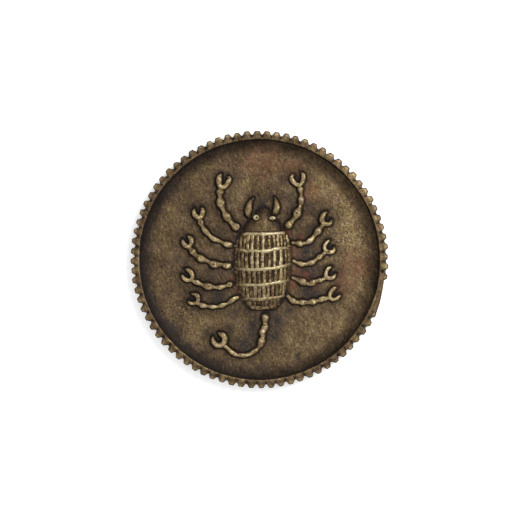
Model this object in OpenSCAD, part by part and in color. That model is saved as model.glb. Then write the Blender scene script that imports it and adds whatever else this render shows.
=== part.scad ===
// Round brass token with a toothed rim, a dished field and a scorpion in high relief.
// The origin is the centre of the flat back, +Z points out of the face and
// +Y points towards the scorpion's jaws. All sizes are in millimetres.

/* [Token] */
// Diameter over the tips of the rim's teeth
token_d = 28; // [22:0.5:34]
// Height of the rim, from the flat back to the lip
rim_h = 2.2; // [1.8:0.1:3]
// Thickness of the flat field inside the rim
field_t = 1.2; // [0.8:0.1:1.5]

/* [Rim] */
// Number of tooth places round the full turn
tooth_count = 80; // [56:1:100]
// Depth of a tooth, from tip to root
tooth_depth = 0.4; // [0.2:0.05:0.6]
// Share of the pitch that a tooth fills
tooth_fill = 0.9; // [0.7:0.02:0.96]
// How far the rounded ends of the teeth are set below the lip
tooth_drop = 0.12; // [0.05:0.01:0.3]
// Width of the flat lip, from the tooth roots to the inner edge
lip_w = 0.55; // [0.35:0.05:1]
// Height of the small step between the lip and the hollow inside it
lip_step = 0.25; // [0.1:0.05:0.4]
// Bevel on the edges of the lip and on the lower edge of the rim
rim_bevel = 0.08; // [0.04:0.01:0.15]
// Direction of the filed place where the metal was poured in, in degrees
gate_angle = 343; // [0:1:360]
// Half of the angle that the filed place takes up
gate_half = 7.6; // [4:0.2:12]
// How far the filed place stays inside the tips of the teeth
gate_inset = 0.15; // [0.1:0.05:0.35]

/* [Hollow] */
// Width of the curved slope between the flat field and the rim
cove_w = 1.65; // [1:0.05:2.5]

/* [Scorpion body] */
// Width of the body's core at its widest place
body_w = 5.6; // [4.6:0.1:6.8]
// Height of the body's core above the field
body_h = 1.12; // [0.8:0.02:1.4]
// Height of the lengthwise ribs above the core
rib_h = 0.13; // [0.06:0.01:0.2]
// Width of a lengthwise rib
rib_w = 0.24; // [0.15:0.01:0.3]
// Height of the cross bands above the core
band_h = 0.2; // [0.1:0.01:0.3]
// Width of a cross band
band_w = 0.27; // [0.18:0.01:0.35]
// Height of the head above the field
head_h = 0.62; // [0.4:0.02:0.9]
// Diameter of an eye
eye_d = 0.6; // [0.4:0.02:0.74]
// Height of an eye above the field
eye_h = 0.72; // [0.5:0.02:1]

/* [Scorpion limbs] */
// Height of a leg bead above the field, as a share of its width
bead_rise = 0.85; // [0.6:0.05:1.1]
// Height of a claw above the field, as a share of its width
claw_rise = 1.3; // [0.8:0.05:1.6]

/* [Hidden] */

$fn = 96;
// How far a cutting shape reaches past what it cuts
margin = 2;

// Rim and field
tip_r = token_d / 2;
root_r = tip_r - tooth_depth;
inner_r = root_r - lip_w;
tooth_r = PI * root_r / tooth_count * tooth_fill;
// A tooth's flat top as a share of its radius, and the drop from there to its side
tooth_top_share = 0.55;
tooth_top_r = tooth_r * tooth_top_share;
tooth_shoulder = 0.25;
tooth_cheek_share = 0.35;
tooth_cheek = tooth_shoulder * tooth_cheek_share;
// The first tooth stands this share of a tooth pitch past the X axis
first_tooth_share = 0.22;
first_tooth_angle = first_tooth_share * 360 / tooth_count;
gate_r = tip_r - gate_inset;
flat_r = inner_r - cove_w;
cove_edge_z = rim_h - lip_step;
cove_rise = cove_edge_z - field_t;
cove_arc_r = (cove_w * cove_w + cove_rise * cove_rise) / (2 * cove_rise);
cove_arc_a = acos(1 - cove_rise / cove_arc_r);
cove_steps = 8;

// The scorpion is drawn on a flat field of this radius and scales with the real one
drawn_flat_r = 11.4;
u = flat_r / drawn_flat_r;
// The legs are drawn for this body width, and the jaws for this eye: they move out as those grow
drawn_body_w = 5.6;
drawn_eye_d = 0.6;
leg_shift = (body_w - drawn_body_w) / 2;
jaw_shift = max(0, (eye_d - drawn_eye_d) / 2);

// Body: a barrel lying along Y, sunk until its width at the field is body_w
drawn_body_x = 0.42;
body_x = drawn_body_x * u;
barrel_half = body_w / 2 * u;
barrel_r = (barrel_half * barrel_half + body_h * body_h) / (2 * body_h);
barrel_sink = barrel_r - body_h;
// Stations along the body from tail end to head end: place, share of the full width
body_stations = [
  [-5.5, 0.36], [-5.1, 0.5], [-4.3, 0.75], [-2.8, 0.91], [-1.4, 0.98],
  [-0.2, 1], [1.2, 0.98], [2.9, 0.81]
];
body_y0 = body_stations[0][0] * u;
body_y1 = body_stations[len(body_stations) - 1][0] * u;
// Cross bands from tail end to head end: place, tilt in degrees
bands = [[-5.3, 0], [-4.35, 3], [-2.72, 4.2], [-0.98, 4.8], [0.9, 2.4], [2.68, 0.8]];
// Ribs between each pair of bands: the places of their middles across the drawn body
rib_rows = [
  [-0.93, -0.5, -0.06, 0.4, 0.85, 1.3, 1.74],
  [-1.68, -1.25, -0.82, -0.4, 0.02, 0.52, 0.97, 1.43, 1.93, 2.42],
  [-2.02, -1.6, -1.05, -0.48, 0.04, 0.55, 1.15, 1.78, 2.36, 2.82],
  [-2.14, -1.76, -1.34, -0.74, -0.2, 0.4, 1.1, 1.67, 2.35, 2.92],
  [-1.98, -1.6, -1.2, -0.72, -0.14, 0.45, 1.13, 1.62, 2.05, 2.43, 2.8]
];
// Angle round the barrel's axis at which a rib stands, from its drawn place at the middle of its row
function rib_angle(k, place) =
  let (share = lookup((bands[k][0] + bands[k + 1][0]) / 2, body_stations))
  asin((place - drawn_body_x) / drawn_body_w * body_w * u / barrel_radius(share, 0));
// Clearance between the core and the ribs and bands that lie on it
seam = 0.006;

// Head outline from its left foot over the crown to its right foot
head_outline = [
  [-1.7, 3.02], [-1.52, 3.5], [-1.15, 3.95], [-0.76, 4.3], [-0.3, 4.7], [0.08, 5.22], [0.5, 5.5],
  [0.95, 5.35], [1.35, 4.8], [1.85, 4.2], [2.25, 3.6], [2.38, 3.02]
];
head_mid = [0.45, 3.6];
head_edge_h = 0.22;
head_reach = 2.15 * u;
head_dome_r = (head_reach * head_reach + pow(head_h - head_edge_h, 2)) / (2 * (head_h - head_edge_h));
eyes = [[-0.33, 4.5], [1.46, 4.42]];
eye_r = eye_d / 2 * u;
eye_pit_share = 0.4;
eye_pit_r = eye_r * eye_pit_share;
eye_round_share = 0.45;
eye_round = eye_r * eye_round_share;
eye_corner = eye_round * (1 - cos(45));

// Jaws: x, y, width
jaw_left_line = [
  [-1.02, 4.36, 0.24], [-1.14, 4.8, 0.62], [-1.16, 5.3, 0.86], [-1.06, 5.86, 0.66],
  [-0.82, 6.34, 0.38], [-0.56, 6.69, 0.14]
];
jaw_right_line = [
  [1.66, 4.86, 0.3], [1.82, 5.14, 0.6], [1.93, 5.52, 0.7], [1.94, 5.98, 0.54],
  [1.82, 6.4, 0.34], [1.64, 6.7, 0.14]
];

// Legs from the body outwards: x, y, width, with a narrow neck between the beads
legs_left = [
  [[-2.15, 3.1, 0.46], [-2.5, 3.45, 0.78], [-3.0, 3.95, 0.44], [-3.5, 4.58, 0.76], [-3.88, 5.3, 0.4],
   [-4.18, 6.05, 0.84], [-4.24, 6.78, 0.42], [-4.24, 7.25, 0.74], [-4.16, 7.64, 0.42]],
  [[-2.78, 1.42, 0.36], [-3.4, 1.54, 0.6], [-4.15, 1.84, 0.3], [-4.88, 2.15, 0.48], [-5.42, 2.54, 0.34],
   [-5.85, 3.04, 0.56], [-6.16, 3.52, 0.34], [-6.36, 3.92, 0.58], [-6.46, 4.16, 0.4]],
  [[-2.92, -0.7, 0.4], [-3.55, -0.76, 0.6], [-4.1, -0.66, 0.34], [-4.88, -0.62, 0.74], [-5.6, -0.3, 0.34],
   [-6.34, 0.02, 0.74], [-6.85, 0.34, 0.38], [-7.22, 0.76, 0.68], [-7.42, 1.02, 0.42]],
  [[-2.8, -2.76, 0.36], [-3.25, -2.84, 0.52], [-3.62, -2.98, 0.32], [-4.2, -3.1, 0.52], [-4.85, -3.12, 0.34],
   [-5.52, -3.02, 0.74], [-6.2, -2.84, 0.36], [-6.78, -2.6, 0.52], [-7.16, -2.42, 0.34]],
  [[-2.15, -4.12, 0.28], [-2.9, -4.52, 0.46], [-3.48, -4.88, 0.28], [-4.02, -5.1, 0.48], [-4.55, -5.22, 0.28],
   [-5.08, -5.24, 0.42], [-5.6, -5.2, 0.28], [-6.1, -5.1, 0.5], [-6.5, -4.96, 0.34]]
];
legs_right = [
  [[2.85, 3.35, 0.46], [3.28, 3.7, 0.74], [3.74, 4.25, 0.4], [4.18, 4.95, 0.84], [4.48, 5.68, 0.34],
   [4.6, 6.38, 0.6], [4.6, 6.98, 0.3], [4.5, 7.54, 0.6], [4.43, 7.88, 0.38]],
  [[3.5, 1.74, 0.32], [3.98, 1.7, 0.28], [4.5, 1.65, 0.54], [5.0, 1.7, 0.32], [5.55, 1.95, 0.5],
   [6.0, 2.46, 0.32], [6.45, 3.02, 0.62], [6.75, 3.38, 0.36], [6.86, 3.52, 0.34]],
  [[3.62, -0.12, 0.24], [4.05, -0.4, 0.26], [4.65, -0.58, 0.42], [5.15, -0.6, 0.3], [5.75, -0.42, 0.46],
   [6.2, -0.1, 0.3], [6.6, 0.16, 0.44], [6.86, 0.38, 0.3], [7.05, 0.56, 0.32]],
  [[3.5, -2.0, 0.24], [4.15, -2.26, 0.32], [4.75, -2.52, 0.6], [5.3, -2.72, 0.34], [5.88, -2.6, 0.54],
   [6.3, -2.46, 0.32], [6.66, -2.36, 0.42], [6.9, -2.26, 0.32], [7.06, -2.18, 0.3]],
  [[3.05, -3.9, 0.28], [3.3, -4.25, 0.32], [3.72, -4.6, 0.5], [4.22, -4.74, 0.32], [4.75, -4.76, 0.5],
   [5.3, -4.8, 0.3], [5.88, -4.68, 0.54], [6.4, -4.56, 0.32], [6.88, -4.42, 0.5], [7.4, -4.28, 0.34]]
];

// Claws from one tip round the root to the other tip: x, y, width
claws_left = [
  [[-4.05, 9.24, 0.14], [-4.25, 9.02, 0.34], [-4.35, 8.65, 0.46], [-4.33, 8.25, 0.48], [-4.08, 7.98, 0.42],
   [-3.75, 8.04, 0.42], [-3.47, 8.32, 0.42], [-3.27, 8.68, 0.38], [-3.4, 8.98, 0.16]],
  [[-7.0, 5.46, 0.14], [-7.1, 5.15, 0.3], [-7.05, 4.82, 0.36], [-6.78, 4.56, 0.4],
   [-6.45, 4.5, 0.36], [-6.22, 4.78, 0.38], [-6.12, 5.2, 0.42], [-6.32, 5.6, 0.16]],
  [[-8.34, 2.12, 0.14], [-8.3, 1.82, 0.3], [-8.12, 1.5, 0.38], [-7.8, 1.36, 0.38],
   [-7.5, 1.48, 0.34], [-7.37, 1.8, 0.4], [-7.42, 2.18, 0.4], [-7.84, 2.5, 0.14]],
  [[-8.44, -1.72, 0.14], [-8.28, -2.02, 0.3], [-8.0, -2.24, 0.34], [-7.65, -2.34, 0.32], [-7.34, -2.18, 0.32],
   [-7.26, -1.86, 0.38], [-7.42, -1.5, 0.4], [-7.7, -1.26, 0.32], [-8.08, -1.14, 0.14]],
  [[-7.72, -4.56, 0.14], [-7.55, -4.78, 0.28], [-7.2, -4.88, 0.28], [-6.85, -4.8, 0.28],
   [-6.64, -4.5, 0.34], [-6.7, -4.15, 0.38], [-6.98, -3.9, 0.3], [-7.42, -3.84, 0.14]]
];
claws_right = [
  [[3.66, 9.18, 0.16], [3.52, 8.86, 0.32], [3.66, 8.55, 0.38], [4.0, 8.3, 0.38], [4.38, 8.2, 0.36],
   [4.68, 8.42, 0.38], [4.82, 8.8, 0.38], [4.78, 9.15, 0.34], [4.55, 9.4, 0.16]],
  [[7.48, 5.08, 0.14], [7.15, 4.94, 0.32], [6.93, 4.62, 0.42], [6.88, 4.2, 0.42],
   [7.06, 3.86, 0.36], [7.42, 3.74, 0.34], [7.76, 3.86, 0.32], [7.95, 4.3, 0.14]],
  [[7.74, 2.04, 0.14], [7.44, 1.84, 0.26], [7.24, 1.5, 0.32], [7.16, 1.12, 0.34],
   [7.34, 0.8, 0.36], [7.75, 0.7, 0.38], [8.1, 0.88, 0.34], [8.26, 1.3, 0.14]],
  [[7.92, -0.88, 0.14], [7.62, -1.02, 0.26], [7.38, -1.34, 0.3], [7.27, -1.72, 0.32],
   [7.38, -2.04, 0.34], [7.72, -2.12, 0.32], [8.1, -2.02, 0.32], [8.42, -1.62, 0.14]],
  [[8.56, -3.18, 0.14], [8.2, -3.26, 0.32], [7.9, -3.54, 0.34], [7.72, -3.92, 0.32],
   [7.8, -4.3, 0.34], [8.15, -4.46, 0.32], [8.56, -4.28, 0.32], [8.88, -3.92, 0.14]]
];

// Tail from the body to the claw: x, y, width
tail_line = [
  [0.76, -5.95, 0.5], [0.7, -6.38, 0.74], [0.66, -7.0, 0.44], [0.68, -7.42, 0.68], [0.5, -7.76, 0.62],
  [0.36, -8.06, 0.68], [0.42, -8.5, 0.46],
  [0.26, -9.05, 0.72], [-0.08, -9.72, 0.4], [-0.5, -10.12, 0.46], [-1.1, -10.42, 0.38],
  [-1.8, -10.55, 0.46], [-2.45, -10.46, 0.38], [-2.95, -10.2, 0.44], [-3.35, -9.88, 0.38],
  [-3.66, -9.58, 0.38]
];
tail_claw_line = [
  [-5.0, -8.46, 0.14], [-5.04, -8.85, 0.32], [-4.88, -9.2, 0.42], [-4.52, -9.42, 0.44], [-4.1, -9.42, 0.42],
  [-3.8, -9.15, 0.44], [-3.72, -8.72, 0.48], [-3.98, -8.32, 0.42], [-4.48, -8.08, 0.16]
];

// Smooth line through hand-chosen points: a Catmull-Rom curve, the width included
curve_steps = 3;
function clamped(line, i) = line[max(0, min(len(line) - 1, i))];
function curve_point(line, i, t) =
  let (a = clamped(line, i - 1), b = line[i], c = clamped(line, i + 1), d = clamped(line, i + 2))
  0.5 * (2 * b + (c - a) * t + (2 * a - 5 * b + 4 * c - d) * t * t + (3 * b - a - 3 * c + d) * t * t * t);
function smooth(line) = concat(
  [for (i = [0:len(line) - 2]) for (k = [0:curve_steps - 1]) curve_point(line, i, k / curve_steps)],
  [line[len(line) - 1]]
);

// A half-round bar that lies on the field along a smooth line
bar_points = 7;
function heading(p, i) = let (d = clamped(p, i + 1) - clamped(p, i - 1)) atan2(d[1], d[0]);
function arch(q, a, rise) = [
  for (k = [0:bar_points - 1])
    let (t = 180 * k / (bar_points - 1), side = q[2] / 2 * cos(t))
    [(q[0] - side * sin(a)) * u, (q[1] + side * cos(a)) * u, field_t + q[2] * rise * sin(t) * u]
];
module half_round(line, rise) {
  p = smooth(line);
  n = bar_points;
  last = len(p) - 1;
  points = [for (i = [0:last]) each arch(p[i], heading(p, i), rise)];
  sides = [
    for (i = [0:last - 1]) for (k = [0:n - 1])
      [i * n + k, i * n + (k + 1) % n, (i + 1) * n + (k + 1) % n, (i + 1) * n + k]
  ];
  first_cap = [for (k = [n - 1:-1:0]) k];
  last_cap = [for (k = [0:n - 1]) last * n + k];
  polyhedron(points, concat(sides, [first_cap, last_cap]), convexity = 6);
}

// The rim: a bevelled ring with a row of rounded teeth and one smooth filed place
function ring_profile(outer) = [
  [inner_r, 0], [outer - rim_bevel, 0], [outer, rim_bevel], [outer, rim_h - rim_bevel],
  [outer - rim_bevel, rim_h], [inner_r + rim_bevel, rim_h], [inner_r, rim_h - rim_bevel]
];
module tooth() {
  top = rim_h - tooth_drop;
  translate([tip_r - tooth_r, 0, 0])
    rotate_extrude()
      polygon([
        [0, 0], [tooth_r - rim_bevel, 0], [tooth_r, rim_bevel], [tooth_r, top - tooth_shoulder],
        [(tooth_r + tooth_top_r) / 2, top - tooth_cheek], [tooth_top_r, top], [0, top]
      ]);
}
function angle_apart(a, b) = let (d = abs((a - b) % 360)) min(d, 360 - d);
module toothed_rim() {
  color("#8d7a52") {
    difference() {
      union() {
        rotate_extrude()
          polygon(ring_profile(root_r));
        for (k = [0:tooth_count - 1])
          let (a = first_tooth_angle + 360 / tooth_count * k)
          if (angle_apart(a, gate_angle) > gate_half)
            rotate([0, 0, a])
              tooth();
        rotate([0, 0, gate_angle - gate_half])
          rotate_extrude(angle = 2 * gate_half)
            polygon(ring_profile(gate_r));
      }
      translate([0, 0, -margin])
        cylinder(h = rim_h + 2 * margin, r = inner_r);
    }
  }
}

// The field: a flat disc whose edge sweeps up to the rim in a hollow curve
module field_plate() {
  cove = [
    for (k = [0:cove_steps])
      let (a = cove_arc_a * k / cove_steps)
      [flat_r + cove_arc_r * sin(a), field_t + cove_arc_r * (1 - cos(a))]
  ];
  color("#5f5139")
    rotate_extrude()
      polygon(concat([[0, 0], [inner_r, 0]], [for (k = [cove_steps:-1:0]) cove[k]], [[0, field_t]]));
}

// The barrel shape of the body, grown by a height and cut level with the field
function barrel_radius(share, grow) =
  sqrt(pow(barrel_half * share, 2) + pow(barrel_sink, 2)) + grow;
module barrel(grow) {
  outline = [for (s = body_stations) [barrel_radius(s[1], grow), s[0] * u]];
  intersection() {
    translate([body_x, 0, field_t - barrel_sink])
      rotate([90, 0, 0])
        mirror([0, 0, 1])
          rotate_extrude()
            polygon(concat([[0, body_y0]], outline, [[0, body_y1]]));
    above_field(body_w * u, body_y1 - body_y0);
  }
}
module above_field(w, l) {
  translate([body_x - w / 2 - margin, body_y0 - margin, field_t])
    cube([w + 2 * margin, l + 2 * margin, body_h + margin]);
}
module barrel_skin(height) {
  difference() {
    barrel(height);
    barrel(seam);
  }
}
module body_core() {
  color("#4a3f2d")
    barrel(0);
}

// The body's surface between two tilted lines across it, each a band number and an offset
function line_end(k, offset, side) =
  let (tilt = bands[k][1], reach = body_w * u)
  [body_x + side * reach * cos(tilt) - offset * sin(tilt),
   bands[k][0] * u + side * reach * sin(tilt) + offset * cos(tilt)];
module between(low, low_offset, high, high_offset) {
  linear_extrude(field_t + body_h + margin)
    polygon([
      line_end(low, low_offset, -1), line_end(low, low_offset, 1),
      line_end(high, high_offset, 1), line_end(high, high_offset, -1)
    ]);
}
module cross_band(k) {
  half = band_w / 2 * u;
  color("#b3a173")
    intersection() {
      barrel_skin(band_h);
      between(k, -half, k, half);
    }
}

// One row of ribs between bands k and k + 1, fanned round the barrel's axis
module rib_row(k) {
  half = band_w / 2 * u;
  color("#94835b")
    intersection() {
      barrel_skin(rib_h);
      between(k, half, k + 1, -half);
      translate([body_x, 0, field_t - barrel_sink])
        for (place = rib_rows[k])
          rotate([0, rib_angle(k, place), 0])
            translate([-rib_w * u / 2, body_y0 - margin, barrel_sink / 2])
              cube([rib_w * u, body_y1 - body_y0 + 2 * margin, barrel_r]);
    }
}

module head_outline_solid() {
  linear_extrude(head_h + margin)
    polygon(head_outline * u);
}
module head() {
  color("#6f6044")
    difference() {
      intersection() {
        translate([0, 0, field_t])
          head_outline_solid();
        translate([head_mid[0] * u, head_mid[1] * u, field_t + head_h - head_dome_r])
          sphere(r = head_dome_r);
      }
      for (e = eyes)
        translate([e[0] * u, e[1] * u, field_t - margin])
          cylinder(h = head_h + 2 * margin, r = eye_r);
    }
}
module eye(at) {
  color("#b3a173")
    translate([at[0] * u, at[1] * u, field_t])
      rotate_extrude()
        polygon([
          [0, 0], [eye_r, 0], [eye_r, eye_h - eye_round],
          [eye_r - eye_corner, eye_h - eye_corner], [eye_r - eye_round, eye_h],
          [eye_pit_r, eye_h], [0, eye_h - eye_round]
        ]);
}

// Limb pieces; side is -1 for the left, 1 for the right and 0 for the tail
jaw_share = 0.7;
jaw_rise = jaw_share * claw_rise;
module jaw(line, side) {
  color("#84724e")
    translate([side * jaw_shift * u, jaw_shift * u, 0])
      half_round(line, jaw_rise);
}
module leg(line, side) {
  color("#97855a")
    translate([side * leg_shift * u, 0, 0])
      half_round(line, bead_rise);
}
module claw(line, side) {
  color("#97855a")
    translate([side * leg_shift * u, 0, 0])
      half_round(line, claw_rise);
}

field_plate();
toothed_rim();
body_core();
for (k = [1:6]) cross_band(k - 1);
for (k = [1:5]) rib_row(k - 1);
head();
eye(eyes[0]);  // eye_left
eye(eyes[1]);  // eye_right
jaw(jaw_left_line, -1);  // jaw_left
jaw(jaw_right_line, 1);  // jaw_right
for (k = [1:5]) leg(legs_left[k - 1], -1);
for (k = [1:5]) leg(legs_right[k - 1], 1);
for (k = [1:5]) claw(claws_left[k - 1], -1);
for (k = [1:5]) claw(claws_right[k - 1], 1);
leg(tail_line, 0);  // tail
claw(tail_claw_line, 0);  // tail_claw
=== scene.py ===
# %% [markdown]
# # An aged brass token with a scorpion
#
# The real object is a small brass casting: a disc with a toothed rim, a hollowed field, and a
# scorpion that was built up in the pattern from rolled bars, beads and pellets. Each bar, row of
# ribs and pellet is a mesh of its own, dense enough to carry the small unevenness of a casting.
#
# The exact model made in CAD is loaded first and never changed. Each mesh stands in for one of its
# nodes.

# %% Load the exact model
import math

import bpy
import numpy as np
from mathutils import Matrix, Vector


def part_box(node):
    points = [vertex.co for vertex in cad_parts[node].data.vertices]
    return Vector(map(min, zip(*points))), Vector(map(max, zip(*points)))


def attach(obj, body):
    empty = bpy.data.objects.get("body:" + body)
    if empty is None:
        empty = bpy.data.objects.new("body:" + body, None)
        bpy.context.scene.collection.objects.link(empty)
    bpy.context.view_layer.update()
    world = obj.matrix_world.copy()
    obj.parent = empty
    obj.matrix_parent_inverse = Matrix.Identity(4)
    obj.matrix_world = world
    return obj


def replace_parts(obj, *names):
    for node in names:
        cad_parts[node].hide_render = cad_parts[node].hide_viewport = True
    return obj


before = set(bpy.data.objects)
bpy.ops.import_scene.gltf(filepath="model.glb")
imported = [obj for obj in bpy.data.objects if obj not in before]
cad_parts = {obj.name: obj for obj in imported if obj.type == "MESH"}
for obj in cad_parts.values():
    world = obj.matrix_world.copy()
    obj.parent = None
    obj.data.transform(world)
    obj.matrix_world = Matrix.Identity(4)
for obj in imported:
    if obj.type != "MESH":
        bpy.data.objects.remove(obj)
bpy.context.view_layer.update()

print("nodes:", len(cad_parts))

# %% [markdown]
# Lengths are in millimetres, as a token maker measures, and turn into metres only when a mesh is
# handed to Blender. The driving sizes are read from the boxes of the exact model, so a change of
# one of them carries over.

# %% Driving sizes
MM = 0.001
BODY = "root"


def box_mm(node):
    low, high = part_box(node)
    return np.array(low) / MM, np.array(high) / MM


plate_high = box_mm("field_plate")[1]
rim_low, rim_high = box_mm("toothed_rim")
core_low, core_high = box_mm("body_core")
INNER_R = float(plate_high[0])
TIP_R = float((rim_high[0] - rim_low[0]) / 2)
RIM_Z = float(rim_high[2])
FIELD_Z = float(core_low[2])
COVE_Z = float(plate_high[2])
print("tip radius", round(TIP_R, 2), "lip radius", round(INNER_R, 2), "field at", round(FIELD_Z, 2))

# %% [markdown]
# A flat token is best shown from straight above, and from far enough away that nothing leans. A
# long lens does that. A camera close by would show the sides of the teeth on one side only. The
# frame is twice as wide as the token, and lens, sensor and width give the distance.

# %% Camera
FRAME_W = 56.44
LENS = 120
SENSOR = 36
AIM = (0.108, -0.141)
scene = bpy.context.scene
camera_data = bpy.data.cameras.new("camera")
camera_data.lens = LENS
camera_data.sensor_width = SENSOR
camera_data.clip_start = 0.001
camera = bpy.data.objects.new("camera", camera_data)
camera.location = (AIM[0] * MM, AIM[1] * MM, (FRAME_W * LENS / SENSOR + RIM_Z) * MM)
scene.collection.objects.link(camera)
scene.camera = camera
scene.view_settings.view_transform = "Standard"
print("camera", round(camera.location.z * 1000), "mm above the table")

# %% [markdown]
# The token lies on a sheet of pale paper with a little light coming through it, as on a copy
# stand. The paper is clear from behind, so that the flat back can be looked at too.
# Soft light comes from all round, and one large lamp high on the upper right gives the beads
# their small highlights and the faint shadow at the lower left.

# %% Table and light
TABLE_SIDE = 1.2  # metres
TABLE_Z = -0.02  # so that token and table never share a plane
PAPER_GLOW = 0.3
SKY_STRENGTH = 0.95
KEY_PLACE = (0.14, 0.12, 0.26)  # metres
KEY_SIDE = 0.14
KEY_POWER = 0.6

bpy.ops.mesh.primitive_plane_add(size=TABLE_SIDE, location=(0, 0, TABLE_Z * MM))
table = bpy.context.object
table.name = "table"
paper = bpy.data.materials.new("paper")
paper.use_nodes = True
paper_nodes = paper.node_tree.nodes
paper_shader = paper_nodes["Principled BSDF"]
for socket, value in (
    ("Base Color", (0.9, 0.9, 0.9, 1)), ("Roughness", 0.9), ("Specular IOR Level", 0.1),
    ("Emission Color", (1, 1, 1, 1)), ("Emission Strength", PAPER_GLOW),
):
    paper_shader.inputs[socket].default_value = value
paper_side = paper_nodes.new("ShaderNodeNewGeometry")
paper_clear = paper_nodes.new("ShaderNodeBsdfTransparent")
paper_mix = paper_nodes.new("ShaderNodeMixShader")
for source, target in (
    (paper_side.outputs["Backfacing"], paper_mix.inputs[0]),
    (paper_shader.outputs[0], paper_mix.inputs[1]),
    (paper_clear.outputs[0], paper_mix.inputs[2]),
    (paper_mix.outputs[0], paper_nodes["Material Output"].inputs["Surface"]),
):
    paper.node_tree.links.new(source, target)
table.data.materials.append(paper)

world = bpy.data.worlds.new("studio")
world.use_nodes = True
sky = world.node_tree.nodes["Background"]
sky.inputs["Color"].default_value = (1, 1, 1, 1)
sky.inputs["Strength"].default_value = SKY_STRENGTH
scene.world = world


def lamp(name, place, side, power):
    """A square lamp at a place in metres, turned to face the token."""
    data = bpy.data.lights.new(name, "AREA")
    data.size = side
    data.energy = power
    light = bpy.data.objects.new(name, data)
    light.location = place
    toward = -np.array(place)
    flat = math.hypot(toward[0], toward[1])
    tip = math.atan2(flat, -toward[2])
    swing = math.atan2(toward[1], toward[0]) - math.pi / 2
    light.rotation_euler = (tip, 0, swing)
    scene.collection.objects.link(light)
    return light


key = lamp("key", KEY_PLACE, KEY_SIDE, KEY_POWER)
away_mm = [round(v / MM) for v in key.location]
print("key lamp", away_mm, "mm from the token, its side", round(key.data.size / MM), "mm")

# %% [markdown]
# Nothing on a hand-made casting is even. Smooth random lumps, worked out from a point's place alone,
# give the same unevenness on every run and go on unbroken from one piece to the next.

# %% Random lumps and smooth lines
# Large odd numbers that scatter neighbouring places far apart
SCATTER = np.array([374761393, 668265263, 922837217])
SCATTER_SEED = 127412617
SCATTER_MIX = 1274126177


def lattice_value(cell, seed):
    """A fixed number from -1 to 1 for each whole-numbered place."""
    n = sum(cell[:, k] * SCATTER[k] for k in range(3)) + seed * SCATTER_SEED
    n = (n ^ (n >> 13)) & 0x7FFFFFFF
    n = (n * SCATTER_MIX) & 0x7FFFFFFF
    return ((n ^ (n >> 16)) & 0xFFFF) / 32767.5 - 1


def lumps(points, size, seed):
    """Smooth noise from -1 to 1, with lumps of about the given size."""
    q = np.asarray(points, float) / size
    cell = np.floor(q).astype(np.int64)
    part = q - cell
    part = part * part * (3 - 2 * part)
    total = np.zeros(len(q))
    for corner in np.ndindex(2, 2, 2):
        corner = np.array(corner)
        weight = np.prod(np.where(corner == 1, part, 1 - part), axis=1)
        total += weight * lattice_value(cell + corner, seed)
    return total


def smooth_line(points, steps=14):
    """A smooth curve through every point of the list, in all its columns."""
    p = np.asarray(points, float)
    p = np.vstack([p[0], p, p[-1]])
    t = (np.arange(steps) / steps)[:, None]
    runs = []
    for a, b, c, d in zip(p, p[1:], p[2:], p[3:]):
        bend, twist = 2 * a - 5 * b + 4 * c - d, 3 * b - a - 3 * c + d
        runs.append(0.5 * (2 * b + (c - a) * t + bend * t**2 + twist * t**3))
    return np.vstack(runs + [p[-1:]])


def ease(low, high, value):
    """Climbs gently from 0 at low to 1 at high; low may be the larger one."""
    t = np.clip((value - low) / (high - low), 0, 1)
    return t * t * (3 - 2 * t)


def hump(value, middle, reach):
    """1 at the middle, sinking to nothing a little beyond reach."""
    return np.exp(-(((value - middle) / reach) ** 2))


def spot(points, x, y, reach):
    """The same hump, round a place seen from above."""
    return hump(np.hypot(points[:, 0] - x, points[:, 1] - y), 0, reach)


print("lumps near the origin:", round(float(lumps([[0.3, 0.2, 0.1]], 1, 1)[0]), 3))
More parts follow.
